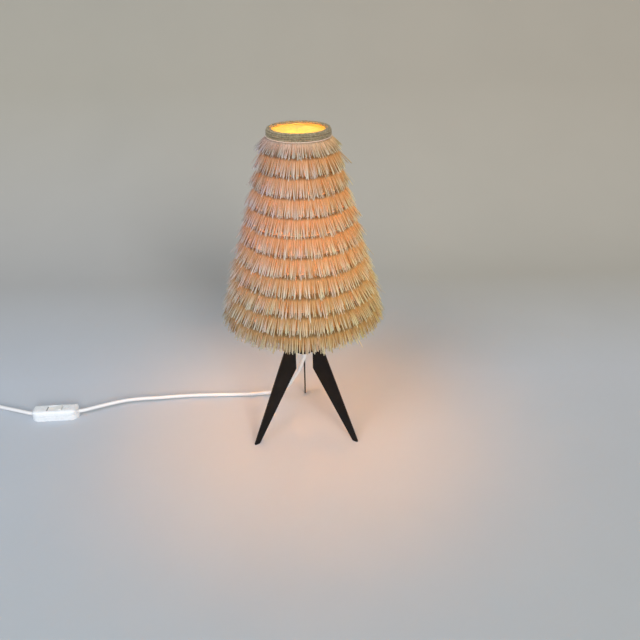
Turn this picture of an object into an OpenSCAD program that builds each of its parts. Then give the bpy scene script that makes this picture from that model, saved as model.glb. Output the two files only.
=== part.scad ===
// Table lamp on three flat legs. Its cone-shaped shade carries rows of straw fringe,
// and a rocker switch sits in the cord.
// Millimetres, +Z up. The lamp's axis is the Z axis and the feet stand on z = 0.

/* [View] */
// Which sub-part to draw

/* [Legs] */
// Thickness of each leg plate
leg_t = 2; // [1.8:0.1:2.4]
// Distance from the axis to the outer edge of a foot
foot_r = 79; // [70:1:90]
// Width of the flat under a foot, along the leg
foot_w = 7.6; // [6:0.2:12]
// Height at which the inner edge of a leg turns upright
knee_z = 98; // [85:1:105]
// Height of the upper end of a leg
leg_top_z = 152; // [149:1:154]
// How much the outer edge leans in per millimetre of height
leg_lean = 0.395; // [0.36:0.005:0.4]

/* [Hub] */
// Outer radius of the hub tube
hub_r = 12.8; // [12.6:0.1:13.2]
// Wall of the hub tube
hub_wall = 2; // [1.6:0.1:2.2]

/* [Shade] */
// Height of the top of the shade
shade_top_z = 400; // [399.5:0.1:401]
// Radius of the liner at its straight collar
liner_r = 33; // [32.5:0.1:33.5]
// How much wider the liner grows per millimetre down
liner_slope = 0.2657; // [0.25:0.001:0.28]
// Thickness of the liner
liner_t = 0.5; // [0.4:0.1:0.8]
// Height of the liner's lower edge
liner_z0 = 184; // [182:1:186]

/* [Fringe] */
// Height between two rows of fringe
tier_step = 20; // [20:0.1:20.2]
// Height of the root of the top row
tier_z0 = 396.5; // [396:0.1:397]
// How far the tips of a row stand below its root
tier_drop = 18.8; // [17:0.1:18.9]
// How far the tips of a row stand out from its root
tier_flare = 12.4; // [10:0.1:13]

/* [Cord] */
// Diameter of the cord
cord_d = 5; // [4.6:0.1:5]

/* [Switch] */
// Length of the switch case
switch_l = 64; // [63:0.5:66]
// Width of the switch case
switch_w = 22; // [22:0.5:24]
// Angle of the rocker to the case, to each side
rocker_tilt = 8; // [5:0.5:8]

/* [Hidden] */
$fn = 64;

hub_z0 = 123;
hub_z1 = 158;
hub_ri = hub_r - hub_wall;
cord_r = cord_d / 2;
collar_z = 392;
wire_r = 1.5;
bottom_ring_z = liner_z0 + 2.5;
bottom_ring_r = liner_at(bottom_ring_z) - liner_t - 1.04 * (wire_r + 0.1);
thread_pitch = 3.6;
switch_pos = [-350.4, 34];
switch_turn = 2.2;
switch_h = 15;
split_z = 7.5;
end_r = switch_w / 2 - 0.5;
pivot_z = 11.2;
bar_z = 3.4;
coil_pos = [-490, 31];
plug_x = -527.5;

// points that the cord runs through, hub to switch
lamp_route = [[0, 0, 119], [0, 0, 112], [-2.6, 3.5, 102], [-8, 11, 83], [-16, 22, 62], [-24, 33, 43],
    [-35, 48, 23], [-42, 57.5, 14], [-51, 65.5, 8], [-62, 67, 6], [-79, 67.2, 4.8], [-101.5, 68.2, 4.2],
    [-122, 68.7, 4.2], [-144, 68.4, 4.6], [-166, 67.8, 5], [-190, 65.8, 5.5], [-214, 63.1, 6],
    [-237, 61.3, 6.4], [-257, 58.2, 6.8], [-274.5, 52.4, 7.1], [-289, 46.6, 7.3], [-302, 41, 7.5],
    [-312, 36.8, 7.5], [-319, 35.3, 7.5], [-325.4, 35, 7.5]];
// points that the cord runs through, switch to coil
plug_route = [[-375.4, 33, 7.5], [-382.5, 32.8, 7.5], [-388.5, 34, 7.5], [-396, 36.8, 7.4], [-409, 41.8, 7],
    [-423, 47.4, 6.2], [-436.6, 53, 5.4], [-450.5, 58.6, 4.5], [-463, 63.4, 3.7], [-476, 67.2, 3.2],
    [-490, 68.5, 3.1]];

function liner_at(z) = liner_r + (collar_z - min(z, collar_z)) * liner_slope;
function unit(v) = v / norm(v);
// points of an arc of radius r that rounds the corner b between its neighbours a and c
function rounded(a, b, c, r, n = 5) =
    let (u = unit(a - b), v = unit(c - b), h = acos(u * v) / 2, m = b + unit(u + v) * r / sin(h),
        s = unit(b + u * r / tan(h) - m), e = unit(b + v * r / tan(h) - m))
    [for (i = [0:n]) m + r * unit(s * (1 - i / n) + e * i / n)];
function curve_point(p, i, t) =
    let (a = p[max(i - 1, 0)], b = p[i], c = p[i + 1], d = p[min(i + 2, len(p) - 1)])
    0.5 * (2 * b + (c - a) * t + (2 * a - 5 * b + 4 * c - d) * t * t
        + (3 * b - a - 3 * c + d) * t * t * t);
function curve(p, n) = concat(
    [for (i = [0:len(p) - 2], j = [0:n - 1]) curve_point(p, i, j / n)], [p[len(p) - 1]]);
function ring(c, t, r, n) =
    let (g = [0.803, 0.596, 0], u = unit(g - (g * t) * t), v = cross(t, u))
    [for (j = [0:n - 1]) c + r * (cos(j * 360 / n) * u + sin(j * 360 / n) * v)];

// tube of radius r along the points p
module tube(p, r, n = 10) {
    m = len(p);
    pts = [for (i = [0:m - 1]) each
        ring(p[i], unit(p[min(i + 1, m - 1)] - p[max(i - 1, 0)]), r, n)];
    polyhedron(pts, concat(
        [[for (j = [0:n - 1]) j]],
        [[for (j = [n - 1:-1:0]) (m - 1) * n + j]],
        [for (i = [0:m - 2], j = [0:n - 1])
            [i * n + j, (i + 1) * n + j, (i + 1) * n + (j + 1) % n, i * n + (j + 1) % n]]));
}

module pipe(ro, ri, z0, z1) {
    translate([0, 0, z0]) difference() {
        cylinder(r = ro, h = z1 - z0);
        translate([0, 0, -1]) cylinder(r = ri, h = z1 - z0 + 2);
    }
}

// rounded rectangle in the plane
module plate_2d(l, w, r) {
    square([l - 2 * r, w], center = true);
    square([l, w - 2 * r], center = true);
    for (x = [-1, 1], y = [-1, 1]) translate([x * (l / 2 - r), y * (w / 2 - r)]) circle(r = r);
}

// upright rectangle with its two upper corners rounded
module dome_2d(w, h, r) {
    translate([-w / 2, 0]) square([w, h - r]);
    translate([-w / 2 + r, 0]) square([w - 2 * r, h]);
    for (x = [-1, 1]) translate([x * (w / 2 - r), h - r]) circle(r = r);
}

// flat leg in the plane through the axis at angle a, with a tongue into the hub
module leg_shape(a) {
    ri = hub_r + 0.05;
    knee = [ri, knee_z];
    inner = [foot_r - foot_w, 0];
    outer = [foot_r, 0];
    top = [foot_r - leg_lean * leg_top_z, leg_top_z];
    rotate([0, 0, a]) rotate([90, 0, 0]) translate([0, 0, -leg_t / 2]) linear_extrude(leg_t)
        polygon(concat(rounded(knee, inner, outer, 3), rounded(inner, outer, top, 1),
            [top, [ri, leg_top_z], [ri, 148], [hub_ri + 0.05, 148], [hub_ri + 0.05, 127], [ri, 127],
            knee]));
}

module leg_back() color([0.06, 0.055, 0.05]) leg_shape(90);
module leg_left() color([0.06, 0.055, 0.05]) leg_shape(210);
module leg_right() color([0.06, 0.055, 0.05]) leg_shape(330);

module hub_tube() color([0.06, 0.055, 0.05]) difference() {
    pipe(hub_r, hub_ri, hub_z0, hub_z1);
    for (a = [90, 210, 330]) rotate([0, 0, a])
        translate([hub_ri - 1, -leg_t / 2 - 0.05, 126.9]) cube([hub_wall + 2, leg_t + 0.1, 21.2]);
}

module hub_bottom_cap() color([0.06, 0.055, 0.05]) pipe(hub_ri - 0.05, 5.05, hub_z0, 126.5);

module hub_top_cap() color([0.06, 0.055, 0.05]) rotate_extrude()
    polygon([[5.05, 155], [hub_ri - 0.05, 155], [hub_ri - 0.05, hub_z1], [hub_r + 0.4, hub_z1],
        [hub_r + 0.4, 160.4], [hub_r - 0.2, 161], [5.05, 161]]);

// screwed into the bottom cap from below, and tapered towards the cord
module cord_gland() color([0.86, 0.83, 0.76]) rotate_extrude()
    polygon([[cord_r + 0.1, 117], [3.9, 117], [4.8, 119], [5.4, 119.5], [5.4, 122.9], [5, 122.9],
        [5, 128], [cord_r + 0.1, 128]]);

module threaded_nipple() color([0.8, 0.62, 0.3]) pipe(5, 3.6, 149, 172.5);

module nipple_nuts() color([0.8, 0.62, 0.3]) for (z = [151.9, 161.1]) difference() {
    translate([0, 0, z]) cylinder(d = 14 / cos(30), h = 3, $fn = 6);
    translate([0, 0, z - 1]) cylinder(r = 5.05, h = 5);
}

module holder_cap() color([0.1, 0.09, 0.085]) difference() {
    rotate_extrude() polygon([[5.05, 164.2], [8, 164.2], [9, 165], [9, 170], [13, 172.5],
        [19, 177], [20.5, 180], [20.5, 185], [18.6, 185], [18.6, 181], [16.5, 178],
        [11.5, 174.5], [5.05, 174.5]]);
    translate([0, 0, 167.5]) rotate([0, 90, 0]) cylinder(r = 1.55, h = 12);
}

module holder_grub_screw() color([0.7, 0.7, 0.72]) difference() {
    translate([5.3, 0, 167.5]) rotate([0, 90, 0]) cylinder(r = 1.5, h = 3.4);
    translate([8.2, -0.25, 165]) cube([2, 0.5, 5]);
}

module holder_insert() color([0.92, 0.9, 0.86]) difference() {
    union() {
        translate([0, 0, 183]) cylinder(r = 18.3, h = 1.9);
        translate([0, 0, 183]) cylinder(r = 16.7, h = 8);
    }
    translate([0, 0, 180]) cylinder(r = 2.05, h = 20);
    for (x = [-9, 9]) translate([x, 0, 180]) cylinder(r = 1.55, h = 20);
}

module holder_terminals() color([0.8, 0.62, 0.3]) for (s = [-1, 1]) difference() {
    union() {
        translate([s * 9 - 2, -2, 178.5]) cube([4, 4, 4.4]);
        translate([s * 9, 0, 182.5]) cylinder(r = 1.5, h = 8.3);
    }
    translate([s * 9, 0, 177]) cylinder(r = 0.8, h = 4);
}

module holder_centre_contact() color([0.8, 0.62, 0.3]) union() {
    translate([0, 0, 182]) cylinder(r = 2, h = 9.4);
    translate([-6, -2.5, 191.2]) cube([12, 5, 0.5]);
}

module holder_screw_shell() color([0.8, 0.62, 0.3]) rotate_extrude()
    polygon(concat(
        [for (i = [0:48]) [13.95 + 0.35 * cos(i * 45), 191.1 + i * thread_pitch / 8]],
        [for (i = [48:-1:0]) [14.45 + 0.35 * cos(i * 45), 191.1 + i * thread_pitch / 8]]));

// threaded outside, with the collar that the shade rests on
module holder_skirt() color([0.1, 0.09, 0.085]) rotate_extrude()
    polygon(concat([[17, 185.05], [20.5, 185.05], [20.5, 189.5], [24.5, 190.2], [24.5, 193],
            [19.2, 193]],
        [for (i = [0:10]) each [[19.2, 194 + i * 2.5], [19.7, 194.6 + i * 2.5],
            [19.7, 195.2 + i * 2.5], [19.2, 195.8 + i * 2.5]]],
        [[19.2, 221.4], [18.6, 222], [17, 222]]));

module inner_wires() color([0.85, 0.84, 0.8]) union() {
    translate([0, 0, 119.2]) cylinder(r = cord_r - 0.02, h = 29);
    for (s = [-1, 1]) translate([s * 1.4, 0, 147]) cylinder(r = 1, h = 29);
    for (s = [-1, 1]) translate([s * 1.4, 0, 175.8]) rotate([0, s * 90, 0]) cylinder(r = 1, h = 8.4);
}

module bulb_tip_contact() color([0.8, 0.62, 0.3]) rotate_extrude()
    polygon([[0, 192], [2.5, 192], [4.6, 192.8], [4.6, 193.6], [0, 193.6]]);

module bulb_insulator() color([0.05, 0.05, 0.06]) rotate_extrude()
    polygon([[0, 193.65], [4.9, 193.65], [9.6, 197.4], [9.6, 198.3], [0, 198.3]]);

module bulb_cap() color([0.82, 0.82, 0.8]) rotate_extrude()
    polygon(concat([[9.7, 198.4], [10.6, 197.6]],
        [for (i = [0:40]) [12.7 - 0.45 * cos(i * 45), 199 + i * thread_pitch / 8]],
        [[13.1, 218], [13.1, 222], [12.6, 222], [11.6, 217.5]],
        [for (i = [40:-1:0]) [12.1 - 0.45 * cos(i * 45), 199 + i * thread_pitch / 8]],
        [[9.7, 199]]));

module bulb_glass() color([0.95, 0.9, 0.78]) rotate_extrude()
    polygon(concat(
        [for (i = [0:16]) [12.4 + 17.6 * (0.5 - 0.5 * cos(i * 180 / 16)), 222.1 + i * 44 / 16]],
        [for (i = [1:16]) [30 * cos(i * 90 / 16), 266.1 + 30 * sin(i * 90 / 16)]],
        [for (i = [16:-1:1]) [29.2 * cos(i * 90 / 16), 266.1 + 29.2 * sin(i * 90 / 16)]],
        [for (i = [16:-1:0]) [11.6 + 17.6 * (0.5 - 0.5 * cos(i * 180 / 16)), 222.1 + i * 44 / 16]]));

module bulb_stem() color([0.9, 0.92, 0.9]) rotate_extrude()
    polygon([[0, 222], [11.4, 222.2], [9.4, 224.5], [4.5, 229], [3.4, 244], [1.6, 250], [1.6, 262], [0, 263]]);

module bulb_filament() color([1, 0.8, 0.4]) union() {
    for (a = [45:90:315]) rotate([0, 0, a]) translate([7, 0, 248]) cylinder(r = 0.9, h = 32);
    rotate([0, 0, 45]) {
        translate([-8, -0.5, 280]) cube([16, 1, 0.8]);
        translate([-0.5, -8, 280]) cube([1, 16, 0.8]);
        translate([2.5, -0.5, 248]) cube([5.4, 1, 0.8]);
        translate([-7.9, -0.5, 248]) cube([5.4, 1, 0.8]);
        translate([-0.5, 2.5, 248]) cube([1, 5.4, 0.8]);
        translate([-0.5, -7.9, 248]) cube([1, 5.4, 0.8]);
    }
}

module shade_washer() color([0.85, 0.8, 0.7]) pipe(25.5, 20.1, 194.8, 196);

// ring nut with grips round its edge
module shade_ring_nut() color([0.1, 0.09, 0.085]) difference() {
    rotate_extrude() polygon([[20, 196.3], [26.8, 196.3], [27, 196.8], [27, 201], [26, 201.8],
        [23, 203], [20, 203]]);
    for (i = [0:23]) rotate([0, 0, i * 15]) translate([27.7, 0, 195]) cylinder(r = 1.2, h = 10);
}

module shade_fitter_ring() color([0.88, 0.88, 0.86]) pipe(28, 20.2, 193.3, 194.5);

// three bent rods, each welded under the fitter ring and to the lower ring
module shade_arms() color([0.88, 0.88, 0.86]) for (a = [30, 150, 270]) rotate([0, 0, a]) {
    x0 = 28.05;
    x1 = bottom_ring_r - wire_r - 0.05;
    dz = 193.9 - bottom_ring_z;
    translate([x0, 0, 193.9]) rotate([0, 90 + atan(dz / (x1 - x0)), 0])
        cylinder(r = wire_r, h = norm([x1 - x0, dz]));
}

module shade_bottom_ring() color([0.88, 0.88, 0.86]) translate([0, 0, bottom_ring_z])
    rotate_extrude() translate([bottom_ring_r, 0]) circle(r = wire_r);

module shade_top_ring() color([0.88, 0.88, 0.86]) translate([0, 0, 397])
    rotate_extrude() translate([liner_r - liner_t - 1.3, 0]) circle(r = 1.1);

module shade_liner() color([0.95, 0.8, 0.55]) rotate_extrude()
    polygon([[liner_at(liner_z0), liner_z0], [liner_r, collar_z], [liner_r, shade_top_z - 1],
        [liner_r - liner_t, shade_top_z - 1], [liner_r - liner_t, collar_z],
        [liner_at(liner_z0) - liner_t, liner_z0]]);

// woven edging that folds over the upper rim
module shade_braid() color([0.5, 0.46, 0.36]) rotate_extrude()
    polygon([[34.7, 391.3], [35.1, 391.8], [34.7, 399.2], [34, shade_top_z], [30, shade_top_z],
        [29.4, 399.5], [29.4, 398.9], [30, 398.5], [31.5, 398.9], [33.1, 399.1],
        [33.9, 397.6], [34.4, 391.3]]);

// row k of the fringe: hangs from its root on the liner and stands out at the tips
module fringe_shape(k) {
    z = tier_z0 - tier_step * (k - 1);
    r = liner_at(z);
    f = tier_flare + (k == 8 || k == 10 ? 2 : k == 9 ? 3 : 0);
    top = k == 1 ? 0.5 : 1.2;
    rotate_extrude() polygon([[r + 0.15, z], [r + top, z],
        [r + (k == 1 ? 1.2 : 2.6), z - (k == 1 ? 5.5 : 2)],
        [r + f, z - tier_drop + 0.6], [r + f - 1, z - tier_drop - 0.6],
        [r + 6.4, z - tier_drop - 0.8],
        [liner_at(z - 9) + 0.25, z - 9], [liner_at(z - 5) + 0.15, z - 5]]);
}

module fringe_tier_01() color([0.74, 0.69, 0.6]) fringe_shape(1);
module fringe_tier_02() color([0.76, 0.69, 0.58]) fringe_shape(2);
module fringe_tier_03() color([0.76, 0.69, 0.58]) fringe_shape(3);
module fringe_tier_04() color([0.78, 0.69, 0.56]) fringe_shape(4);
module fringe_tier_05() color([0.78, 0.69, 0.56]) fringe_shape(5);
module fringe_tier_06() color([0.78, 0.69, 0.54]) fringe_shape(6);
module fringe_tier_07() color([0.77, 0.68, 0.52]) fringe_shape(7);
module fringe_tier_08() color([0.76, 0.67, 0.5]) fringe_shape(8);
module fringe_tier_09() color([0.75, 0.66, 0.48]) fringe_shape(9);
module fringe_tier_10() color([0.74, 0.65, 0.47]) fringe_shape(10);
module fringe_tier_11() color([0.73, 0.64, 0.46]) fringe_shape(11);

module cord_lamp_lead() color([0.93, 0.93, 0.92]) tube(curve(lamp_route, 2), cord_r);
module cord_plug_lead() color([0.93, 0.93, 0.92]) tube(curve(plug_route, 2), cord_r);
module cord_plug_end() color([0.93, 0.93, 0.92])
    tube(curve([[plug_x, 31, 8.1], [plug_x, 22, 7.9], [plug_x, 12, 6.8], [plug_x, 4, 6.8]], 2), cord_r);

// outer shape of two layers of turns
module cord_coil() color([0.93, 0.93, 0.92]) translate([coil_pos[0], coil_pos[1], 0])
    rotate_extrude() polygon([[18.6, 2], [20, 0.6], [38.6, 0.6], [40, 2], [40, 9.2],
        [38.6, 10.6], [20, 10.6], [18.6, 9.2]]);

module coil_tie() color([0.15, 0.15, 0.16])
    translate([coil_pos[0], coil_pos[1], 0]) rotate([0, 0, 300]) difference() {
        translate([17.7, -2, 0]) cube([23, 4, 11.3]);
        translate([18.3, -3, 0.55]) cube([21.8, 6, 10.15]);
    }

module plug_relief() color([0.93, 0.93, 0.92]) difference() {
    translate([plug_x, 6, 6.8]) rotate([90, 0, 0]) cylinder(r1 = 3.5, r2 = 5.6, h = 15.9);
    translate([plug_x, 7, 6.8]) rotate([90, 0, 0]) cylinder(r = cord_r + 0.1, h = 18);
}

module plug_body() color([0.93, 0.93, 0.92]) difference() {
    translate([plug_x, 0, 0]) linear_extrude(13.6)
        polygon([[-17.2, -44.5], [-16, -46], [16, -46], [17.2, -44.5], [17.2, -40], [12.5, -22],
            [8.5, -11.5], [7, -10], [-7, -10], [-8.5, -11.5], [-12.5, -22], [-17.2, -40]]);
    for (s = [-1, 1]) translate([plug_x + s * 9.3, -37, 6.8]) rotate([90, 0, 0])
        cylinder(r = 1.85, h = 12);
}

module plug_pins() color([0.8, 0.8, 0.8]) for (s = [-1, 1])
    translate([plug_x + s * 9.3, -37.5, 6.8]) rotate([90, 0, 0]) {
        cylinder(r = 1.8, h = 9);
        translate([0, 0, 8.7]) cylinder(r = 2, h = 17.8);
        translate([0, 0, 26.5]) cylinder(r1 = 2, r2 = 1.2, h = 1);
    }

module at_switch() translate([switch_pos[0], switch_pos[1], 0]) rotate([0, 0, switch_turn]) children();

module switch_base() color([0.94, 0.94, 0.92]) at_switch() difference() {
    union() {
        difference() {
            linear_extrude(split_z) plate_2d(switch_l, switch_w, end_r);
            translate([0, 0, 1.6]) linear_extrude(split_z) plate_2d(switch_l - 3.6, switch_w - 3.6, end_r - 1.8);
        }
        for (s = [-1, 1]) translate([s * 23.5, -s * 6, 1]) cylinder(r = 2.7, h = split_z - 1.1);
    }
    translate([-40, 0, split_z]) rotate([0, 90, 0]) cylinder(r = cord_r + 0.1, h = 80);
    for (s = [-1, 1]) translate([s * 23.5, -s * 6, -1]) {
        cylinder(r = 2.5, h = 2.2);
        cylinder(r = 1.4, h = 12);
    }
}

// block with round ends and a soft upper edge
module case_shape(l, w, h, re, rt, z0) intersection() {
    translate([0, 0, z0]) linear_extrude(20) plate_2d(l, w, re);
    translate([-50, 0, 0]) rotate([90, 0, 90]) linear_extrude(100) dome_2d(w, h, rt);
    translate([0, 50, 0]) rotate([90, 0, 0]) linear_extrude(100) dome_2d(l, h, rt);
}

module switch_cover() color([0.94, 0.94, 0.92]) at_switch() difference() {
    union() {
        difference() {
            case_shape(switch_l, switch_w, switch_h, end_r, 6.5, split_z + 0.05);
            case_shape(switch_l - 3.6, switch_w - 3.6, switch_h - 1.8, end_r - 1.8, 4.8, 5);
        }
        for (s = [-1, 1]) {
            translate([s * 23.5, -s * 6, split_z + 0.1]) cylinder(r = 2.7, h = 5.5);
            translate([-2.5, s * 7.05 - 1.55, 9]) cube([5, 3.1, 3.9]);
        }
    }
    translate([-10.6, -5.2, 12]) cube([21.2, 10.4, 6]);
    translate([-40, 0, split_z]) rotate([0, 90, 0]) cylinder(r = cord_r + 0.1, h = 16);
    translate([24, 0, split_z]) rotate([0, 90, 0]) cylinder(r = cord_r + 0.1, h = 16);
    for (s = [-1, 1]) translate([s * 23.5, -s * 6, split_z - 1]) cylinder(r = 1.35, h = 5);
    translate([0, 9.1, pivot_z]) rotate([90, 0, 0]) cylinder(r = 1.25, h = 18.2);
}

// the end towards the lamp stands up, which is the on position
module switch_rocker() color([0.96, 0.95, 0.9]) at_switch() translate([0, 0, pivot_z])
    rotate([0, -rocker_tilt, 0]) difference() {
        union() {
            translate([0, 4.9, 0]) rotate([90, 0, 0]) linear_extrude(9.8)
                polygon(concat([for (a = [-3:6:21]) 10.3 * [cos(a), sin(a)]],
                    [[9.1, 3.95], [4.5, 3.2], [0, 2.9], [-4.5, 3.2], [-9.1, 3.95]],
                    [for (a = [159:6:183]) 10.3 * [cos(a), sin(a)]], [[-3, -2.4], [3, -2.4]]));
            translate([0, 0, -5.2]) cylinder(r = 1.3, h = 3.5);
        }
        translate([0, 6, 0]) rotate([90, 0, 0]) cylinder(r = 1.25, h = 12);
    }

module switch_rocker_pin() color([0.75, 0.75, 0.77]) at_switch()
    translate([0, 9, pivot_z]) rotate([90, 0, 0]) cylinder(r = 1.2, h = 18);

// two-armed contact that tips the other way from the rocker
module switch_contact_bar() color([0.8, 0.62, 0.3]) at_switch() translate([0, 0, bar_z])
    rotate([0, 6, 0]) difference() {
        union() {
            translate([-7, -2, 1]) cube([14, 4, 0.6]);
            translate([0, 2, 0]) rotate([90, 0, 0]) cylinder(r = 1.4, h = 4);
        }
        translate([0, 4, 0]) rotate([90, 0, 0]) cylinder(r = 0.85, h = 8);
    }

module switch_terminals() color([0.8, 0.62, 0.3]) at_switch() {
    for (y = [-1, 1]) translate([-1.2, y * 3 - 0.5, 1.7]) cube([2.4, 1, 2.9]);
    translate([0, 3.4, bar_z]) rotate([90, 0, 0]) cylinder(r = 0.8, h = 6.8);
    translate([-14, -3.5, 1.7]) cube([15, 0.9, 0.4]);
    translate([-14, 2.6, 1.7]) cube([15, 0.9, 0.4]);
    translate([-20, -3.5, 1.7]) cube([6, 7, 4]);
    translate([14, -3.5, 1.7]) cube([6, 7, 4]);
    translate([6, -1.5, 1.7]) cube([8.5, 3, 0.5]);
    translate([5.5, -1.5, 1.7]) cube([2, 3, 1.6]);
}

module switch_screws() color([0.7, 0.7, 0.72]) at_switch()
    for (s = [-1, 1]) translate([s * 23.5, -s * 6, 0]) difference() {
        union() {
            translate([0, 0, 0.2]) cylinder(r = 2.4, h = 0.95);
            translate([0, 0, 1]) cylinder(r = 1.3, h = 10);
        }
        translate([-3, -0.3, -0.2]) cube([6, 0.6, 0.9]);
    }

module switch_cord_clamps() color([0.85, 0.84, 0.8]) at_switch()
    for (s = [-1, 1]) translate([s * 25.6 - 1.4, -2.6, 10.2]) cube([2.8, 5.2, 1.9]);

leg_back();
leg_left();
leg_right();
hub_tube();
hub_bottom_cap();
hub_top_cap();
cord_gland();
threaded_nipple();
nipple_nuts();
holder_cap();
holder_grub_screw();
holder_insert();
holder_terminals();
holder_centre_contact();
holder_screw_shell();
holder_skirt();
inner_wires();
bulb_tip_contact();
bulb_insulator();
bulb_cap();
bulb_glass();
bulb_stem();
bulb_filament();
shade_washer();
shade_ring_nut();
shade_fitter_ring();
shade_arms();
shade_bottom_ring();
shade_top_ring();
shade_liner();
shade_braid();
fringe_tier_01();
fringe_tier_02();
fringe_tier_03();
fringe_tier_04();
fringe_tier_05();
fringe_tier_06();
fringe_tier_07();
fringe_tier_08();
fringe_tier_09();
fringe_tier_10();
fringe_tier_11();
cord_lamp_lead();
cord_plug_lead();
cord_coil();
coil_tie();
cord_plug_end();
plug_relief();
plug_body();
plug_pins();
switch_base();
switch_cover();
switch_rocker();
switch_rocker_pin();
switch_contact_bar();
switch_terminals();
switch_screws();
switch_cord_clamps();
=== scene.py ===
import math

import bpy
import numpy as np
from mathutils import Matrix, Vector


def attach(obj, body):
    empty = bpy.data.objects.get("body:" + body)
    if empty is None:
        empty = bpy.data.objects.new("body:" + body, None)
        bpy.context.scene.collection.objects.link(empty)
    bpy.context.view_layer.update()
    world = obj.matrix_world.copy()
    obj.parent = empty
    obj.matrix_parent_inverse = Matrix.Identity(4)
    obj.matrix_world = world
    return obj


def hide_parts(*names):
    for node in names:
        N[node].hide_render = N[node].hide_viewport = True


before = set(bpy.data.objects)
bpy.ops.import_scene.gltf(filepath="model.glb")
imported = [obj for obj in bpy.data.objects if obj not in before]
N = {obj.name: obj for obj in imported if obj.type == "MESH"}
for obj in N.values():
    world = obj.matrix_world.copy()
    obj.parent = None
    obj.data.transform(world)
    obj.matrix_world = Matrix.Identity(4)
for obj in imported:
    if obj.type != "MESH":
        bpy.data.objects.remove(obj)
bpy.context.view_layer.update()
scene = bpy.context.scene
MM = 0.001
TAU = 2 * math.pi


# ---------------------------------------------------------------- camera
def make_camera():
    focal, yaw, pitch, roll = 613.38, 0.0311605, 0.517380, -0.0100407
    fw = Vector((math.sin(yaw) * math.cos(pitch), math.cos(yaw) * math.cos(pitch), -math.sin(pitch)))
    right = fw.cross(Vector((0, 0, 1))).normalized()
    up = right.cross(fw)
    r2 = math.cos(roll) * right + math.sin(roll) * up
    u2 = -math.sin(roll) * right + math.cos(roll) * up
    data = bpy.data.cameras.new("camera")
    data.sensor_fit = "HORIZONTAL"
    data.sensor_width = 36
    data.lens = focal / 640 * 36
    data.clip_start = 0.02
    data.clip_end = 60
    cam = bpy.data.objects.new("camera", data)
    scene.collection.objects.link(cam)
    m = Matrix((r2, u2, -fw)).transposed().to_4x4()
    m.translation = Vector((0, -0.66414, 0.54294))
    cam.matrix_world = m
    scene.camera = cam


make_camera()


# ---------------------------------------------------------------- node helpers
def add(nt, kind, inputs=None, **props):
    n = nt.nodes.new(kind)
    for k, v in props.items():
        setattr(n, k, v)
    for k, v in (inputs or {}).items():
        n.inputs[k].default_value = v
    return n


def ramp(nt, fac, stops):
    n = nt.nodes.new("ShaderNodeValToRGB")
    e = n.color_ramp.elements
    while len(e) < len(stops):
        e.new(0.5)
    for el, (pos, col) in zip(e, stops):
        el.position = pos
        el.color = (*col, 1)
    nt.links.new(fac, n.inputs["Fac"])
    return n.outputs["Color"]


def noise(nt, vec, scale, detail=4, rough=0.55):
    n = add(nt, "ShaderNodeTexNoise", {"Scale": scale, "Detail": detail, "Roughness": rough})
    nt.links.new(vec, n.inputs["Vector"])
    return n.outputs["Fac"]


def spread(nt, fac, lo, hi, a=0.3, b=0.7):
    n = add(nt, "ShaderNodeMapRange", {"From Min": a, "From Max": b, "To Min": lo, "To Max": hi})
    nt.links.new(fac, n.inputs["Value"])
    return n.outputs["Result"]


def bump(nt, height, strength, distance, normal_in):
    n = add(nt, "ShaderNodeBump", {"Strength": strength, "Distance": distance})
    nt.links.new(height, n.inputs["Height"])
    nt.links.new(n.outputs["Normal"], normal_in)


def stretched(nt, vec, s):
    n = add(nt, "ShaderNodeMapping")
    n.inputs["Scale"].default_value = s
    nt.links.new(vec, n.inputs["Vector"])
    return n.outputs["Vector"]


def surface(name, cols, scale, rough, fine, height, metallic=0.0, grain=(1, 1, 1), **sockets):
    """Principled material: colour drifts between cols, roughness between rough, with a fine bump."""
    m = bpy.data.materials.new(name)
    m.use_nodes = True
    nt = m.node_tree
    p = nt.nodes["Principled BSDF"]
    vec = nt.nodes.new("ShaderNodeTexCoord").outputs["Object"]
    if grain != (1, 1, 1):
        vec = stretched(nt, vec, grain)
    n1 = noise(nt, vec, scale)
    k = len(cols) - 1
    nt.links.new(ramp(nt, n1, [(0.3 + 0.4 * i / k, c) for i, c in enumerate(cols)]), p.inputs["Base Color"])
    nt.links.new(spread(nt, noise(nt, vec, scale * 2.7, 5), *rough), p.inputs["Roughness"])
    bump(nt, noise(nt, vec, fine, 3), 0.35, height, p.inputs["Normal"])
    p.inputs["Metallic"].default_value = metallic
    for key, v in sockets.items():
        p.inputs[key.replace("_", " ")].default_value = v
    return m


lacquer = surface("black_lacquer", [(0.0045, 0.0034, 0.0028), (0.0072, 0.0054, 0.0044), (0.012, 0.009, 0.0072)], 46, (0.42, 0.6), 900, 0.00006, Specular_IOR_Level=0.2)
brass = surface("brass_worn", [(0.46, 0.31, 0.11), (0.62, 0.44, 0.19), (0.7, 0.53, 0.26)], 160, (0.22, 0.42), 1500, 0.00003, 1.0)
steel = surface("steel_plated", [(0.45, 0.45, 0.47), (0.62, 0.62, 0.63)], 220, (0.2, 0.38), 1800, 0.00002, 1.0)
bakelite = surface("black_moulded", [(0.012, 0.011, 0.0105), (0.022, 0.02, 0.018)], 70, (0.26, 0.42), 1300, 0.00004)
ceramic = surface("white_ceramic", [(0.74, 0.71, 0.64), (0.82, 0.8, 0.74)], 90, (0.35, 0.55), 1400, 0.00004)
ivory = surface("ivory_plastic", [(0.5, 0.44, 0.34), (0.62, 0.56, 0.45), (0.66, 0.61, 0.5)], 120, (0.34, 0.5), 1600, 0.00004)
white_plastic = surface("white_moulded", [(0.80, 0.85, 0.91), (0.84, 0.89, 0.945), (0.86, 0.905, 0.95)], 60, (0.2, 0.34), 1700, 0.00003, Coat_Weight=0.2, Coat_Roughness=0.18)
rocker_plastic = surface("rocker_moulded", [(0.86, 0.88, 0.88), (0.9, 0.92, 0.92)], 90, (0.16, 0.28), 1700, 0.00003)
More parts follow.
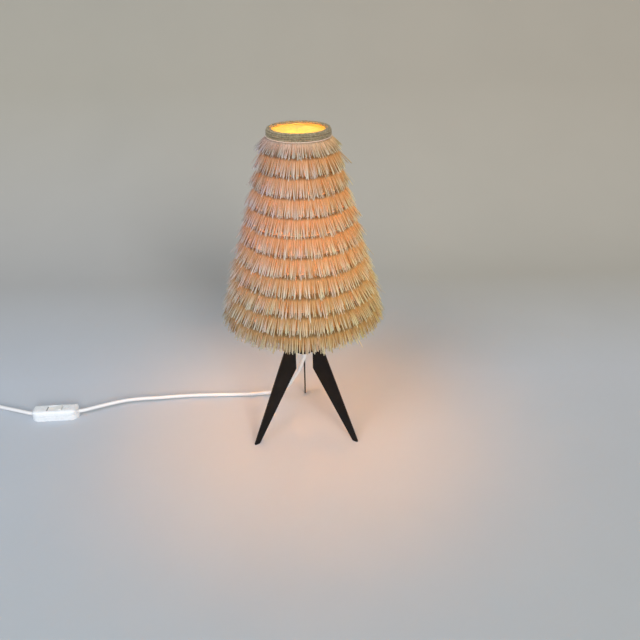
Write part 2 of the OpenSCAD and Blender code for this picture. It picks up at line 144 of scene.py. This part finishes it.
pvc = surface("white_pvc", [(0.82, 0.835, 0.87), (0.86, 0.87, 0.9), (0.88, 0.885, 0.91)], 38, (0.34, 0.5), 1300, 0.00005)
frame_white = surface("white_enamel", [(0.68, 0.67, 0.63), (0.78, 0.77, 0.73)], 110, (0.3, 0.46), 1200, 0.00004)
ring_enamel = surface("cream_enamel", [(0.5, 0.36, 0.14), (0.6, 0.45, 0.2)], 110, (0.4, 0.56), 1200, 0.00004)
nickel = surface("nickel", [(0.6, 0.58, 0.54), (0.74, 0.72, 0.68)], 260, (0.14, 0.28), 2200, 0.00002, 1.0)
alu = surface("cap_aluminium", [(0.58, 0.58, 0.57), (0.74, 0.74, 0.72)], 200, (0.22, 0.36), 2000, 0.00002, 1.0)
fibre = surface("fibre", [(0.36, 0.26, 0.16), (0.5, 0.38, 0.25)], 300, (0.7, 0.9), 2600, 0.0001)
tie_plastic = surface("tie_plastic", [(0.018, 0.018, 0.02), (0.035, 0.035, 0.037)], 200, (0.45, 0.6), 1500, 0.00005)
stem_mat = surface("stem_glass", [(0.7, 0.72, 0.7), (0.8, 0.82, 0.8)], 60, (0.05, 0.12), 400, 0.00002)


def glowing(name, base, glow, strength, rough):
    m = bpy.data.materials.new(name)
    m.use_nodes = True
    nt = m.node_tree
    p = nt.nodes["Principled BSDF"]
    vec = nt.nodes.new("ShaderNodeTexCoord").outputs["Object"]
    nt.links.new(ramp(nt, noise(nt, vec, 60), [(0.3, [c * 0.94 for c in base]), (0.7, base)]), p.inputs["Base Color"])
    nt.links.new(spread(nt, noise(nt, vec, 140), *rough), p.inputs["Roughness"])
    p.inputs["Emission Color"].default_value = (*glow, 1)
    p.inputs["Emission Strength"].default_value = strength
    return m


GLOW = 28.0
opal = glowing("opal_glass", (0.9, 0.86, 0.78), (1.0, 0.40, 0.06), GLOW, (0.12, 0.22))
filament = glowing("filament", (0.9, 0.7, 0.4), (1.0, 0.55, 0.2), GLOW, (0.5, 0.6))

PLAIN = {
    "leg_back": lacquer, "leg_left": lacquer, "leg_right": lacquer, "hub_tube": lacquer,
    "hub_bottom_cap": lacquer, "hub_top_cap": lacquer, "cord_gland": ivory,
    "threaded_nipple": brass, "nipple_nuts": brass, "holder_cap": bakelite,
    "holder_grub_screw": steel, "holder_insert": ceramic, "holder_terminals": brass,
    "holder_centre_contact": brass, "holder_screw_shell": brass, "holder_skirt": bakelite,
    "inner_wires": pvc, "bulb_tip_contact": brass, "bulb_insulator": bakelite, "bulb_cap": alu,
    "bulb_glass": opal, "bulb_stem": stem_mat, "bulb_filament": filament, "shade_washer": fibre,
    "shade_ring_nut": bakelite, "shade_fitter_ring": frame_white, "shade_arms": frame_white,
    "shade_bottom_ring": frame_white, "shade_top_ring": ring_enamel, "coil_tie": tie_plastic,
    "plug_relief": white_plastic, "plug_body": white_plastic, "plug_pins": nickel,
    "switch_base": white_plastic, "switch_cover": white_plastic, "switch_rocker": rocker_plastic,
    "switch_rocker_pin": steel, "switch_contact_bar": brass, "switch_terminals": brass,
    "switch_screws": steel, "switch_cord_clamps": ivory,
}
for name, mat in PLAIN.items():
    o = N[name]
    o.data.materials.clear()
    o.data.materials.append(mat)


def own_piece(name, body="base"):
    """A piece with the node's shape that takes the node's place, so that its edges can be rounded."""
    o = bpy.data.objects.new(name + "_round", N[name].data.copy())
    scene.collection.objects.link(o)
    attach(o, body)
    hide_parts(name)
    return o


def soften(o, width, segments=3, angle=30):
    """Rounds the sharp edges of a piece with a bevel."""
    b = o.modifiers.new("round", "BEVEL")
    b.width = width
    b.segments = segments
    b.limit_method = "ANGLE"
    b.angle_limit = math.radians(angle)
    b.use_clamp_overlap = True
    b.harden_normals = False


for name in ("leg_back", "leg_left", "leg_right"):
    soften(own_piece(name), 0.00035, 2)
soften(own_piece("plug_body"), 0.0016, 4)
soften(own_piece("switch_rocker", "rocker"), 0.0002, 3)


def mould(o, voxel, rounds):
    """Rounds a moulded shell all over, as the tool for it would be."""
    r = o.modifiers.new("fine", "REMESH")
    r.mode = "VOXEL"
    r.voxel_size = voxel
    r.use_smooth_shade = True
    k = o.modifiers.new("soft", "SMOOTH")
    k.factor = 0.5
    k.iterations = rounds


mould(own_piece("switch_cover"), 0.0003, 28)
mould(own_piece("switch_base"), 0.0003, 26)


# ---------------------------------------------------------------- cords
def smooth_path(points, n):
    p = [np.array(q, float) for q in points]
    out = []
    for i in range(len(p) - 1):
        a, b, c, d = p[max(i - 1, 0)], p[i], p[i + 1], p[min(i + 2, len(p) - 1)]
        for j in range(n):
            t = j / n
            out.append(0.5 * (2 * b + (c - a) * t + (2 * a - 5 * b + 4 * c - d) * t * t + (3 * b - a - 3 * c + d) * t ** 3))
    out.append(p[-1])
    return np.array(out)


def path_length(p):
    return float(np.linalg.norm(np.diff(p, axis=0), axis=1).sum())


LAMP_ROUTE = [(0, 0, 119), (0, 0, 112), (-2.6, 3.5, 102), (-8, 11, 83), (-16, 22, 62), (-24, 33, 43),
    (-35, 48, 23), (-42, 57.5, 14), (-51, 65.5, 8), (-62, 67, 6), (-79, 67.2, 4.8), (-101.5, 68.2, 4.2),
    (-122, 68.7, 4.2), (-144, 68.4, 4.6), (-166, 67.8, 5), (-190, 65.8, 5.5), (-214, 63.1, 6),
    (-237, 61.3, 6.4), (-257, 58.2, 6.8), (-274.5, 52.4, 7.1), (-289, 46.6, 7.3), (-302, 41, 7.5),
    (-312, 36.8, 7.5), (-319, 35.3, 7.5), (-325.4, 35, 7.5)]
PLUG_ROUTE = [(-375.4, 33, 7.5), (-382.5, 32.8, 7.5), (-388.5, 34, 7.5), (-396, 36.8, 7.4), (-409, 41.8, 7),
    (-423, 47.4, 6.2), (-436.6, 53, 5.4), (-450.5, 58.6, 4.5), (-463, 63.4, 3.7), (-476, 67.2, 3.2),
    (-490, 68.5, 3.1)]


def coil_points():
    """Two layers of turns: inwards on the floor, up at the middle, and outwards on top."""
    cx, cy, r1, pitch = -490, 31, 37.5, 5.1
    layer, climb = 2.95, 0.35
    total = 2 * layer + climb
    out = []
    steps = int(total * 40)
    for i in range(1, steps + 1):
        t = total * i / steps
        if t < layer:
            r, z = r1 - pitch * t, 3.1
        elif t < layer + climb:
            w = (t - layer) / climb
            r, z = r1 - pitch * layer, 3.1 + 5.0 * (0.5 - 0.5 * math.cos(math.pi * w))
        else:
            r, z = r1 - pitch * (total - t), 8.1
        a = math.radians(90) + TAU * t
        out.append((cx + r * math.cos(a), cy + r * math.sin(a), z))
    return out


def make_cord(name, pts_mm):
    pts = np.array(pts_mm) * MM
    cu = bpy.data.curves.new(name, "CURVE")
    cu.dimensions = "3D"
    cu.bevel_depth = 0.0025
    cu.bevel_resolution = 5
    cu.use_fill_caps = True
    sp = cu.splines.new("POLY")
    sp.points.add(len(pts) - 1)
    sp.points.foreach_set("co", np.c_[pts, np.ones(len(pts))].ravel())
    o = bpy.data.objects.new(name, cu)
    scene.collection.objects.link(o)
    cu.materials.append(pvc)
    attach(o, "base")
    return o, path_length(pts)


lamp_pts = smooth_path(LAMP_ROUTE, 8)
plug_pts = np.vstack([smooth_path(PLUG_ROUTE, 8)[:-1], [PLUG_ROUTE[-1]], coil_points(),
    smooth_path([(-527.5, 31, 8.1), (-527.5, 22, 7.9), (-527.5, 12, 6.8), (-527.5, 4, 6.8)], 5)[1:]])
lamp_lead, lamp_len = make_cord("lamp_lead", lamp_pts)
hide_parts("cord_lamp_lead")
plug_lead, plug_len = make_cord("plug_lead", plug_pts)
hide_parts("cord_plug_lead", "cord_coil", "cord_plug_end")
print("cords", round(lamp_len, 4), round(plug_len, 4))


# ---------------------------------------------------------------- shade
def mesh_piece(name, verts, faces, mats, body, smooth=True):
    me = bpy.data.meshes.new(name)
    me.from_pydata(verts if isinstance(verts, list) else verts.tolist(), [], faces if isinstance(faces, list) else faces.tolist())
    me.polygons.foreach_set("use_smooth", [smooth] * len(me.polygons))
    for m in mats:
        me.materials.append(m)
    me.update()
    o = bpy.data.objects.new(name, me)
    scene.collection.objects.link(o)
    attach(o, body)
    return o


def liner_r(z):
    return 33.0 + (392.0 - np.minimum(z, 392.0)) * 0.2657


def liner_material():
    m = bpy.data.materials.new("lit_paper")
    m.use_nodes = True
    nt = m.node_tree
    nt.nodes.clear()
    out = nt.nodes.new("ShaderNodeOutputMaterial")
    vec = nt.nodes.new("ShaderNodeTexCoord").outputs["Object"]
    n1 = noise(nt, vec, 90, 6)
    d = nt.nodes.new("ShaderNodeBsdfDiffuse")
    t = nt.nodes.new("ShaderNodeBsdfTranslucent")
    # painted shade: the paper is darker towards the top, where its brightly lit inside is seen through the opening
    sep = nt.nodes.new("ShaderNodeSeparateXYZ")
    nt.links.new(vec, sep.inputs[0])
    painted_top_shade = ramp(nt, spread(nt, sep.outputs["Z"], 0.0, 1.0, 0.34, 0.4), [(0.1, (1.0, 1.0, 1.0)), (0.75, (0.72, 0.82, 0.66))])
    mul = add(nt, "ShaderNodeMix", data_type="RGBA", blend_type="MULTIPLY")
    mul.inputs["Factor"].default_value = 1.0
    nt.links.new(ramp(nt, n1, [(0.3, (0.86, 0.78, 0.46)), (0.7, (0.93, 0.86, 0.54))]), mul.inputs["A"])
    nt.links.new(painted_top_shade, mul.inputs["B"])
    nt.links.new(mul.outputs["Result"], d.inputs["Color"])
    nt.links.new(ramp(nt, n1, [(0.3, (0.34, 0.16, 0.12)), (0.7, (0.46, 0.22, 0.165))]), t.inputs["Color"])
    mix = add(nt, "ShaderNodeMixShader", {"Fac": 0.2})
    nt.links.new(d.outputs[0], mix.inputs[1])
    nt.links.new(t.outputs[0], mix.inputs[2])
    nt.links.new(mix.outputs[0], out.inputs["Surface"])
    return m


def make_liner():
    seg = 192
    zs = [399, 396, 392] + [392 - 208 * i / 40 for i in range(1, 41)]
    rows = [[((liner_r(z) - 0.25) * math.cos(TAU * j / seg) * MM, (liner_r(z) - 0.25) * math.sin(TAU * j / seg) * MM, z * MM) for j in range(seg)] for z in zs]
    v = [p for row in rows for p in row]
    f = [(i * seg + j, i * seg + (j + 1) % seg, (i + 1) * seg + (j + 1) % seg, (i + 1) * seg + j) for i in range(len(zs) - 1) for j in range(seg)]
    # the lap where the sheet's two edges are glued, at the back
    lap = []
    for z in zs[2:]:
        for j in range(5):
            a = math.radians(90) + (j - 2) * 1.6 / liner_r(z)
            r = liner_r(z) - 0.55
            lap.append((r * math.cos(a) * MM, r * math.sin(a) * MM, z * MM))
    b = len(v)
    v += lap
    f += [(b + i * 5 + j, b + i * 5 + j + 1, b + (i + 1) * 5 + j + 1, b + (i + 1) * 5 + j) for i in range(len(zs) - 3) for j in range(4)]
    o = mesh_piece("liner_sheet", v, f, [liner_material()], "shade")
    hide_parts("shade_liner")


make_liner()


def rope_ring(r, z, rad, plies, twists, direction, seg, sides, phase=0.0):
    """Closed twisted rope round the axis: vertices and faces, in millimetres."""
    V, F = [], []
    for s in range(plies):
        t = np.arange(seg) / seg * TAU
        w = direction * twists * t + TAU * s / plies + phase
        off = rad * 0.46
        pr = r + off * np.cos(w)
        pz = z + off * np.sin(w)
        c = np.stack([pr * np.cos(t), pr * np.sin(t), pz], 1)
        tan = np.roll(c, -1, 0) - np.roll(c, 1, 0)
        tan /= np.linalg.norm(tan, axis=1)[:, None]
        radial = np.stack([np.cos(t), np.sin(t), np.zeros(seg)], 1)
        n1 = radial - (radial * tan).sum(1)[:, None] * tan
        n1 /= np.linalg.norm(n1, axis=1)[:, None]
        n2 = np.cross(tan, n1)
        base = len(V) and sum(len(x) for x in V)
        ring = []
        for k in range(sides):
            a = TAU * k / sides
            ring.append(c + rad * 0.6 * (math.cos(a) * n1 + math.sin(a) * n2))
        ring = np.stack(ring, 1).reshape(-1, 3)
        V.append(ring)
        i = np.arange(seg)[:, None]
        k = np.arange(sides)[None, :]
        q = np.stack([i * sides + k, ((i + 1) % seg) * sides + k, ((i + 1) % seg) * sides + (k + 1) % sides, i * sides + (k + 1) % sides], -1).reshape(-1, 4)
        F.append(q + base)
    return np.vstack(V), np.vstack(F)


def join(parts):
    V, F, b = [], [], 0
    for v, f in parts:
        V.append(v)
        F.append(f + b)
        b += len(v)
    return np.vstack(V), np.vstack(F)


def braid_material():
    m = bpy.data.materials.new("woven_braid")
    m.use_nodes = True
    nt = m.node_tree
    p = nt.nodes["Principled BSDF"]
    vec = nt.nodes.new("ShaderNodeTexCoord").outputs["Object"]
    nt.links.new(ramp(nt, noise(nt, vec, 420, 6, 0.7), [(0.32, (0.17, 0.13, 0.07)), (0.5, (0.33, 0.265, 0.155)), (0.68, (0.52, 0.44, 0.29))]), p.inputs["Base Color"])
    nt.links.new(spread(nt, noise(nt, vec, 900), 0.65, 0.9), p.inputs["Roughness"])
    bump(nt, noise(nt, stretched(nt, vec, (1, 1, 3)), 2600, 3), 0.6, 0.0002, p.inputs["Normal"])
    p.inputs["Sheen Weight"].default_value = 0.25
    p.inputs["Sheen Roughness"].default_value = 0.5
    return m


def make_braid():
    rows = [(34.05, 393.25), (34.1, 395.3), (34.0, 397.3), (33.2, 399.0)]
    top = [(31.5, 399.5)]
    parts = [rope_ring(r, z, 1.08, 2, int(TAU * r / 3.6), 1 if i % 2 else -1, 420, 6, 0.9 * i) for i, (r, z) in enumerate(rows)]
    parts += [rope_ring(r, z, 0.85, 2, int(TAU * r / 3.2), 1 if i % 2 else -1, 420, 6, 0.7 * i) for i, (r, z) in enumerate(top)]
    parts.append(rope_ring(30.0, 399.1, 1.0, 1, 0, 1, 240, 8, math.pi))
    v, f = join(parts)
    o = mesh_piece("rim_braid", v * MM, f, [braid_material()], "shade")
    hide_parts("shade_braid")
    # thin twisted cord under the band
    v, f = rope_ring(34.7, 391.65, 0.72, 2, 120, 1, 600, 5)
    pipe = surface("piping", [(0.74, 0.56, 0.44), (0.88, 0.7, 0.57)], 500, (0.7, 0.9), 2600, 0.0001)
    o = mesh_piece("rim_piping", v * MM, f, [pipe], "shade")


make_braid()

TIP_R = [45.3, 50.0, 54.8, 60.2, 65.2, 71.0, 76.8, 84.0, 90.6, 94.6, 97.0]
TIP_Z = [377.8, 358.7, 338.8, 319.6, 300.2, 279.6, 258.6, 238.0, 218.6, 198.0, 177.8]
# part of each row's strands that the row above covers
COVERED = [0.06, 0.13, 0.09, 0.09, 0.08, 0.05, 0.08, 0.13, 0.19, 0.20, 0.22]
# colours of the strand ends with their weights, each at the top, middle and bottom row
PALETTE = [
    ([(0.82, 0.79, 0.72), (0.84, 0.81, 0.75), (0.83, 0.78, 0.64)], 5),
    ([(0.78, 0.74, 0.65), (0.81, 0.76, 0.68), (0.78, 0.72, 0.54)], 4),
    ([(0.73, 0.73, 0.65), (0.76, 0.77, 0.70), (0.74, 0.73, 0.55)], 2),
    ([(0.66, 0.55, 0.40), (0.72, 0.57, 0.41), (0.68, 0.55, 0.32)], 2),
    ([(0.47, 0.36, 0.24), (0.51, 0.36, 0.22), (0.52, 0.41, 0.24)], 1),
]
# strength of the painted glow at the roots of each row, standing in for the lamp's light showing through
LIT = [0.42, 0.78, 0.82, 0.92, 1.0, 1.0, 0.92, 0.88, 0.8, 0.68, 0.52]


def straw_material(name):
    m = bpy.data.materials.new(name)
    m.use_nodes = True
    nt = m.node_tree
    p = nt.nodes["Principled BSDF"]
    out = nt.nodes["Material Output"]
    tint = add(nt, "ShaderNodeAttribute", attribute_name="tint")
    vec = nt.nodes.new("ShaderNodeTexCoord").outputs["Object"]
    fib = noise(nt, stretched(nt, vec, (1, 1, 0.22)), 1500, 3, 0.6)
    mul = add(nt, "ShaderNodeMix", data_type="RGBA", blend_type="MULTIPLY")
    mul.inputs["Factor"].default_value = 1.0
    nt.links.new(tint.outputs["Color"], mul.inputs["A"])
    nt.links.new(ramp(nt, fib, [(0.3, (0.82, 0.8, 0.77)), (0.7, (1.0, 1.0, 1.0))]), mul.inputs["B"])
    nt.links.new(mul.outputs["Result"], p.inputs["Base Color"])
    nt.links.new(spread(nt, fib, 0.48, 0.7), p.inputs["Roughness"])
    bump(nt, fib, 0.4, 0.00012, p.inputs["Normal"])
    t = nt.nodes.new("ShaderNodeBsdfTranslucent")
    warm = add(nt, "ShaderNodeMix", data_type="RGBA", blend_type="MULTIPLY")
    warm.inputs["Factor"].default_value = 1.0
    nt.links.new(mul.outputs["Result"], warm.inputs["A"])
    warm.inputs["B"].default_value = (1.0, 0.86, 0.68, 1)
    nt.links.new(warm.outputs["Result"], t.inputs["Color"])
    mix = add(nt, "ShaderNodeMixShader", {"Fac": 0.18})
    nt.links.new(p.outputs[0], mix.inputs[1])
    nt.links.new(t.outputs[0], mix.inputs[2])
    nt.links.new(mix.outputs[0], out.inputs["Surface"])
    # painted glow: a colour attribute drives an emission that stands in for the lamp's light coming through the straw
    painted_glow = add(nt, "ShaderNodeAttribute", attribute_name="painted_glow")
    nt.links.new(painted_glow.outputs["Color"], p.inputs["Emission Color"])
    p.inputs["Emission Strength"].default_value = 1.0
    return m


def by_row(stops, k):
    """Colour of row k between the stops for the top, middle and bottom rows."""
    return np.array([np.interp(k, (1.5, 5.5, 10), [q[i] for q in stops]) for i in range(3)])


def wander(rng, theta, count, lo, hi):
    """Smooth seeded noise round the ring, about -1 to 1."""
    out = np.zeros_like(theta)
    for _ in range(count):
        k = rng.integers(lo, hi)
        out += np.sin(k * theta + rng.uniform(0, TAU))
    return out / math.sqrt(count)


def strands(rng, k, n, u, width, splay, pull):
    """Vertices, faces and lock numbers for n strands of row k at depths u (0 inner, 1 outer), drawn into locks by pull."""
    z0 = 396.5 - 20.0 * (k - 1)
    z0 = 391.4 if k == 1 else z0 + 3.4
    r0 = liner_r(z0)
    th = (np.arange(n) + rng.uniform(-0.9, 0.9, n)) / n * TAU
    tr, tz = TIP_R[k - 1], TIP_Z[k - 1]
    ends = np.cumsum(rng.uniform(2.6, 7.0, int(TAU * tr / 4.0))) / tr
    ends = ends[ends < TAU]
    mids = 0.5 * (np.r_[0.0, ends] + np.r_[ends, TAU])
    lock = np.searchsorted(ends, th % TAU)
    clump = rng.normal(0, 1, len(mids))[lock]
    # root, tip and the bend between them, in the plane through the axis
    rr = r0 + 0.4 + 0.9 * u
    rz = z0 - 0.5 + rng.uniform(-0.5, 0.5, n)
    tip_r = (r0 + 6.8) * (1 - u) + (tr - 0.9) * u + rng.normal(0, splay, n) + 0.35 * splay * clump + (rng.random(n) < 0.12) * splay * rng.uniform(1, 2.2, n)
    tip_z = (tz + 2.6) * (1 - u) + (tz + 0.2) * u
    stretch = 1 + rng.normal(0, 0.035, n) + 0.02 * clump - (rng.random(n) < 0.08) * rng.uniform(0.05, 0.25, n)
    tip_r = rr + (tip_r - rr) * stretch
    tip_z = rz + (tip_z - rz) * stretch
    mid_r = 0.5 * (rr + tip_r) + 0.5 + rng.normal(0, 0.3, n)
    mid_z = 0.5 * (rz + tip_z) + 0.3
    lean = rng.normal(0, splay * 0.6, n) + pull * (mids[lock] - th % TAU) * tr + 0.5 * wander(rng, th, 6, 25, 80)
    w = rng.uniform(*width, n)
    thick = w * rng.uniform(0.3, 0.6, n)
    roll = rng.normal(0, 0.55, n)
    cov = COVERED[k - 1]
    ts = np.array([0.0, cov + 0.02, cov + 0.13, 0.5, 0.74, 0.97, 1.0])
    wide = np.array([0.8, 0.9, 1.0, 1.0, 1.0, 0.97, 0.6])
    rad = np.stack([np.cos(th), np.sin(th), np.zeros(n)], 1)
    tng = np.stack([-np.sin(th), np.cos(th), np.zeros(n)], 1)
    rings = []
    for t, wd in zip(ts, wide):
        pr = (1 - t) ** 2 * rr + 2 * t * (1 - t) * mid_r + t * t * tip_r
        pz = (1 - t) ** 2 * rz + 2 * t * (1 - t) * mid_z + t * t * tip_z
        dr = 2 * (1 - t) * (mid_r - rr) + 2 * t * (tip_r - mid_r)
        dz = 2 * (1 - t) * (mid_z - rz) + 2 * t * (tip_z - mid_z)
        dl = np.hypot(dr, dz)
        nr = -dz / dl  # outward normal in the plane
        nz = dr / dl
        c = pr[:, None] * rad + (t ** 1.3 * lean)[:, None] * tng
        c[:, 2] = pz
        nv = nr[:, None] * rad
        nv[:, 2] = nz
        a = np.cos(roll)[:, None] * tng + np.sin(roll)[:, None] * nv
        b = -np.sin(roll)[:, None] * tng + np.cos(roll)[:, None] * nv
        hw = (w * wd / 2)[:, None]
        ht = (thick / 2 * (0.5 + 0.5 * wd))[:, None]
        rings.append(np.stack([c - hw * a, c - ht * b, c + hw * a, c + ht * b], 1))
    V = np.stack(rings, 1)  # strand, ring, side, xyz
    m = len(ts)
    f = []
    for i in range(m - 1):
        for s in range(4):
            f.append((i * 4 + s, i * 4 + (s + 1) % 4, (i + 1) * 4 + (s + 1) % 4, (i + 1) * 4 + s))
    f.append((3, 2, 1, 0))
    f.append(((m - 1) * 4, (m - 1) * 4 + 1, (m - 1) * 4 + 2, (m - 1) * 4 + 3))
    F = (np.arange(n)[:, None, None] * m * 4 + np.array(f)[None]).reshape(-1, 4)
    return V.reshape(-1, 3), F, lock


def per_vertex(root, tip, along, gain, round_it=(1, 1, 1, 1)):
    """Colours for each vertex that go from root to tip colour by along, times gain, for each ring of a strand and each side of the ring."""
    c = root[:, None, :] * (1 - along)[None, :, None] + tip[:, None, :] * along[None, :, None]
    c = c * gain[None, :, None]
    return (c[:, :, None, :] * np.array(round_it)[None, None, :, None]).reshape(-1, 3)


def make_tier(k):
    rng = np.random.default_rng(100 + k)
    r0 = liner_r(396.5 - 20.0 * (k - 1))
    grp = 0 if k <= 4 else 1 if k <= 8 else 2
    base = by_row([(0.63, 0.41, 0.205), (0.60, 0.36, 0.17), (0.57, 0.385, 0.155)], k)
    # lit is the colour of the painted glow at the roots of this row
    lit = by_row([(0.52, 0.213, 0.08), (0.54, 0.205, 0.074), (0.47, 0.217, 0.07)], k) * LIT[k - 1]
    # painted shade along each strand: the roots are darkened where the row above shades them, and the very ends a
    # little; row 1, under the band, keeps light roots
    shade = np.array([0.45, 0.6, 1.0, 1.0, 1.0, 1.0, 0.92])
    if k == 1:
        base, shade = np.array((0.78, 0.62, 0.49)), np.array([1.0, 1.05, 1.05, 0.95, 0.95, 1.0, 0.92])
    # painted glow along each pale strand, weakest at the roots, where the row above shades them
    glow = np.array([0.2, 0.4, 1.0, 0.8, 0.4, 0.12, 0.08])
    parts, tint, painted_glow = [], [], []
    # painted glow: light from the lamp comes through a strand from behind, so its outer side is painted with the most
    # glow
    through = (0.5, 0.15, 0.5, 1.15)
    # the body of the row, close-set; its ends are darkened as painted shade in the gaps between the pale locks
    n = int(TAU * (r0 + 5) / 0.45)
    v, f, lock = strands(rng, k, n, rng.uniform(0.0, 0.8, n), (0.45, 0.8), 0.5, 0.0)
    root = base * rng.uniform(0.86, 1.08, n)[:, None]
    tip = base * (0.92, 0.74, 0.55) * rng.uniform(0.55 if k < 7 else 0.68, 0.95 if k < 7 else 1.06, n)[:, None]
    parts.append((v, f))
    tint.append(per_vertex(root, tip, np.array([0, 0, 0, 0.15, 0.6, 1.0, 1.0]), shade))
    # painted glow along the body strands, weakest at the roots in the shade of the row above
    painted_glow.append(per_vertex(lit * rng.uniform(0.85, 1.12, n)[:, None], np.zeros((n, 3)), np.zeros(7), np.array([0.3, 0.5, 1.0, 0.84, 0.6, 0.42, 0.4] if k < 7 else [0.3, 0.5, 1.0, 0.88, 0.74, 0.64, 0.62]), through))
    # the pale strands that lie on it, drawn into locks
    n = int(TAU * (r0 + 10) / 0.72)
    v, f, lock = strands(rng, k, n, rng.uniform(0.8, 1.05, n), (0.55, 1.05), 2.0, 0.42)
    wts = np.array([q[1] for q in PALETTE], float)
    tip = np.array([by_row(q[0], k) for q in PALETTE])[rng.choice(len(PALETTE), n, p=wts / wts.sum())]
    tip = tip * rng.uniform(0.88, 1.06, n)[:, None] * rng.normal(1.0, 0.03, (lock.max() + 1, 3))[lock]
    if k == 11:
        tip = tip * (0.97, 0.94, 0.86)
    root = base * rng.uniform(0.92, 1.1, n)[:, None]
    root = root + (tip - root) * rng.uniform(0.0, 0.2, n)[:, None]
    parts.append((v, f))
    along = np.array([0, 0, 0.04, 0.36, 0.86, 1.0, 1.0])
    tint.append(per_vertex(root, tip, along, shade))
    own = lit * rng.uniform(0.88, 1.15, n)[:, None]
    # painted glow at the pale ends, standing in for the light that reaches them
    ends = tip * (0.2 if k < 7 else 0.31 if k < 11 else 0.22) * (0.4 + 0.6 * LIT[k - 1])
    painted_glow.append(per_vertex(own, np.zeros((n, 3)), np.zeros(7), glow, through) + per_vertex(np.zeros((n, 3)), ends, along, np.ones(7), through))
    v, f = join(parts)
    # painted light: the left side is darker and the right side yellower, as the cool and warm room light would fall on
    # them
    side = v[:, 0] / np.hypot(v[:, 0], v[:, 1])
    painted_side_light = np.array([np.interp(side, (-1, 0, 1), q) for q in ((0.73, 1, 0.94), (0.75, 1, 0.91), (0.88, 1, 0.66))]).T
    o = mesh_piece("fringe_%02d" % k, v * MM, f, [straw[grp]], "shade")
    for name, col in (("tint", np.clip(np.vstack(tint) * painted_side_light, 0, 0.95)), ("painted_glow", np.vstack(painted_glow) * painted_side_light)):
        att = o.data.color_attributes.new(name, "FLOAT_COLOR", "POINT")
        att.data.foreach_set("color", np.c_[col, np.ones(len(col))].astype(np.float32).ravel())
    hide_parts("fringe_tier_%02d" % k)


straw = [straw_material("straw_%s" % s) for s in ("upper", "middle", "lower")]
for k in range(1, 12):
    make_tier(k)


# ---------------------------------------------------------------- floor and light
def make_floor():
    """Floor that sweeps up into a wall behind the lamp."""
    s, y0, rad, top = 6.0, 0.45, 0.62, 5.0
    prof = [(-s, 0.0), (-1.0, 0.0), (-0.3, 0.0), (y0 - 0.1, 0.0)]
    prof += [(y0 + rad * math.sin(a), rad - rad * math.cos(a)) for a in (math.radians(3 * i) for i in range(31))]
    prof += [(y0 + rad, 1.0), (y0 + rad, top)]
    xs = (-s, s)
    me = bpy.data.meshes.new("floor")
    me.from_pydata([(x, y, z) for y, z in prof for x in xs], [], [(2 * i, 2 * i + 1, 2 * i + 3, 2 * i + 2) for i in range(len(prof) - 1)])
    me.polygons.foreach_set("use_smooth", [True] * len(me.polygons))
    o = bpy.data.objects.new("floor", me)
    scene.collection.objects.link(o)
    m = bpy.data.materials.new("pale_backdrop")
    m.use_nodes = True
    nt = m.node_tree
    p = nt.nodes["Principled BSDF"]
    vec = nt.nodes.new("ShaderNodeTexCoord").outputs["Object"]
    sep = nt.nodes.new("ShaderNodeSeparateXYZ")
    nt.links.new(vec, sep.inputs[0])
    # way along the sweep, from the front of the floor to the wall
    run = add(nt, "ShaderNodeMath", operation="ADD")
    nt.links.new(sep.outputs["Y"], run.inputs[0])
    nt.links.new(sep.outputs["Z"], run.inputs[1])
    way = spread(nt, run.outputs[0], 0.0, 1.0, -0.3, 1.6)
    cool = ramp(nt, way, [(0.02, (0.52, 0.575, 0.635)), (0.22, (0.56, 0.615, 0.7)), (0.4, (0.47, 0.48, 0.49)), (0.83, (0.392, 0.378, 0.335))])
    warm = ramp(nt, way, [(0.02, (0.57, 0.6, 0.625)), (0.22, (0.615, 0.64, 0.68)), (0.4, (0.53, 0.512, 0.465)), (0.83, (0.42, 0.392, 0.34))])
    # painted light: the backdrop goes from cool on the left to warm on the right, standing in for cool light from the
    # left and warm light from the right
    both = add(nt, "ShaderNodeMix", data_type="RGBA")
    nt.links.new(spread(nt, sep.outputs["X"], 0.0, 1.0, -0.45, 0.3), both.inputs["Factor"])
    nt.links.new(cool, both.inputs["A"])
    nt.links.new(warm, both.inputs["B"])
    up = both.outputs["Result"]
    mul = add(nt, "ShaderNodeMix", data_type="RGBA", blend_type="MULTIPLY")
    mul.inputs["Factor"].default_value = 1.0
    nt.links.new(up, mul.inputs["A"])
    nt.links.new(ramp(nt, noise(nt, vec, 5, 3), [(0.3, (0.97, 0.97, 0.97)), (0.7, (1.0, 1.0, 1.0))]), mul.inputs["B"])
    nt.links.new(mul.outputs["Result"], p.inputs["Base Color"])
    p.inputs["Roughness"].default_value = 0.85
    p.inputs["Specular IOR Level"].default_value = 0.2
    me.materials.append(m)


make_floor()


def area(name, loc, target, size, watts, colour):
    d = bpy.data.lights.new(name, "AREA")
    d.shape = "DISK"
    d.size = size
    d.energy = watts
    d.color = colour
    o = bpy.data.objects.new(name, d)
    scene.collection.objects.link(o)
    o.location = loc
    o.rotation_euler = (Vector(target) - Vector(loc)).to_track_quat("-Z", "Y").to_euler()


area("window", (-1.1, -1.3, 1.9), (0, 0.0, 0.1), 1.3, 19, (0.87, 0.95, 1.05))
sky = bpy.data.lights.new("room", "SUN")
sky.energy = 1.6
sky.angle = math.radians(20)
sky.color = (1.0, 0.95, 0.87)
sky_o = bpy.data.objects.new("room", sky)
scene.collection.objects.link(sky_o)
sky_o.rotation_euler = Vector((-0.85, 2.3, -1.15)).to_track_quat("-Z", "Y").to_euler()
world = bpy.data.worlds.new("room")
scene.world = world
world.use_nodes = True
world.node_tree.nodes["Background"].inputs["Color"].default_value = (0.95, 0.97, 1.0, 1)
world.node_tree.nodes["Background"].inputs["Strength"].default_value = 0.37
scene.view_settings.view_transform = "Standard"
scene.view_settings.look = "None"
